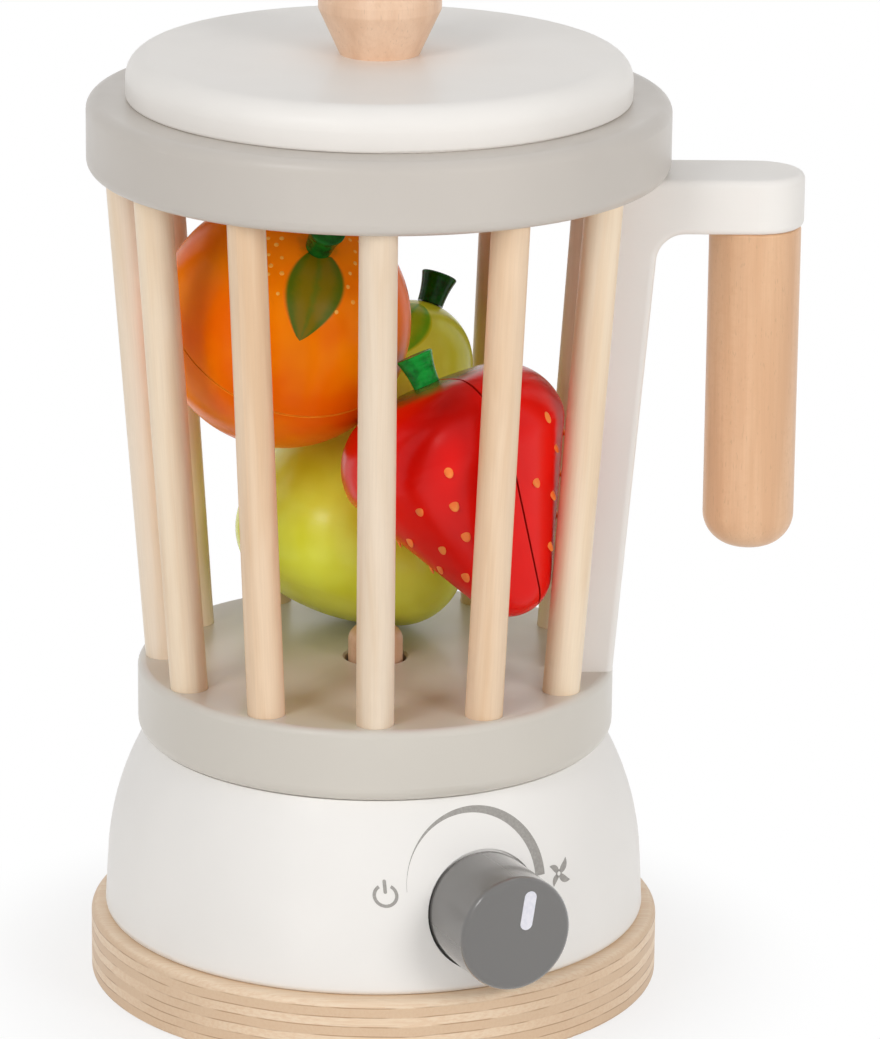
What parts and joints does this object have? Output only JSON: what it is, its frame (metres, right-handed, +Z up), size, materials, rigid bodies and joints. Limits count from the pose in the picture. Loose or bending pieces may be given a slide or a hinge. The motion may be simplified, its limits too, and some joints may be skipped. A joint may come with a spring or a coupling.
{
  "type": "toy blender",
  "caption": "Wooden toy blender: a cage-sided jug with a side handle, a knobbed lid and three play fruits lifts off a round base with a turning dial.",
  "frame": {"origin": "centre of the base's underside, on the surface it stands on", "axes": "+Z up; the front is -Y; the handle is on +X"},
  "size_m": [0.1845, 0.1611, 0.271],
  "materials": {
    "plywood": "sanded birch plywood, plies showing on the edge",
    "white_paint": "white satin paint on turned wood",
    "grey_paint": "warm grey satin paint on wood",
    "dark_paint": "dark grey satin paint on turned wood",
    "dowel_wood": "pale birch, clear matt lacquer",
    "turned_wood": "beech, clear satin lacquer",
    "pear_paint": "yellow-green gloss paint on turned wood",
    "red_paint": "red gloss paint on turned wood",
    "orange_paint": "orange gloss paint on turned wood",
    "stalk_paint": "green gloss paint on turned wood",
    "pad_fabric": "white hook-and-loop pads glued into the halves",
    "steel": "zinc plated"
  },
  "bodies": {
    "base": {"base_plate": "plywood", "base_screws": "steel", "motor_housing": "white_paint", "centre_peg": "turned_wood"},
    "dial": {"dial": "dark_paint", "dial_spindle": "turned_wood", "dial_washer": "steel", "dial_screw": "steel"},
    "jug": {"jug_floor": "grey_paint", "bracket_screws": "steel", "dowel_01": "dowel_wood", "dowel_02": "dowel_wood", "dowel_03": "dowel_wood", "dowel_04": "dowel_wood", "dowel_05": "dowel_wood", "dowel_06": "dowel_wood", "dowel_07": "dowel_wood", "dowel_08": "dowel_wood", "dowel_09": "dowel_wood", "dowel_10": "dowel_wood", "dowel_11": "dowel_wood", "top_ring": "grey_paint", "bracket_dowels": "turned_wood", "handle_bracket": "white_paint", "grip": "turned_wood", "grip_dowel": "turned_wood"},
    "lid": {"lid": "white_paint", "lid_screw": "steel", "lid_knob": "turned_wood"},
    "fruit": {"pear_front": "pear_paint", "pear_back": "pear_paint", "pear_stalk": "stalk_paint", "strawberry_front": "red_paint", "strawberry_back": "red_paint", "strawberry_stalk": "stalk_paint", "orange_lower": "orange_paint", "orange_upper": "orange_paint", "orange_stalk": "stalk_paint", "fruit_pads": "pad_fabric"}
  },
  "joints": [
    {"name": "fruit_lift", "type": "slide", "parent": "jug", "child": "fruit", "axis": [0, 0, 1], "range_m": [0, 0.012]},
    {"name": "dial_turn", "type": "hinge", "parent": "base", "child": "dial", "pos_m": [0.02708, -0.05997, 0.0386], "axis": [0.4115, -0.9114, 0], "range_deg": [-52, 97]},
    {"name": "jug_lift", "type": "slide", "parent": "base", "child": "jug", "axis": [0, 0, 1], "range_m": [0, 0.06]},
    {"name": "lid_lift", "type": "slide", "parent": "jug", "child": "lid", "axis": [0, 0, 1], "range_m": [0, 0.08]}
  ]
}
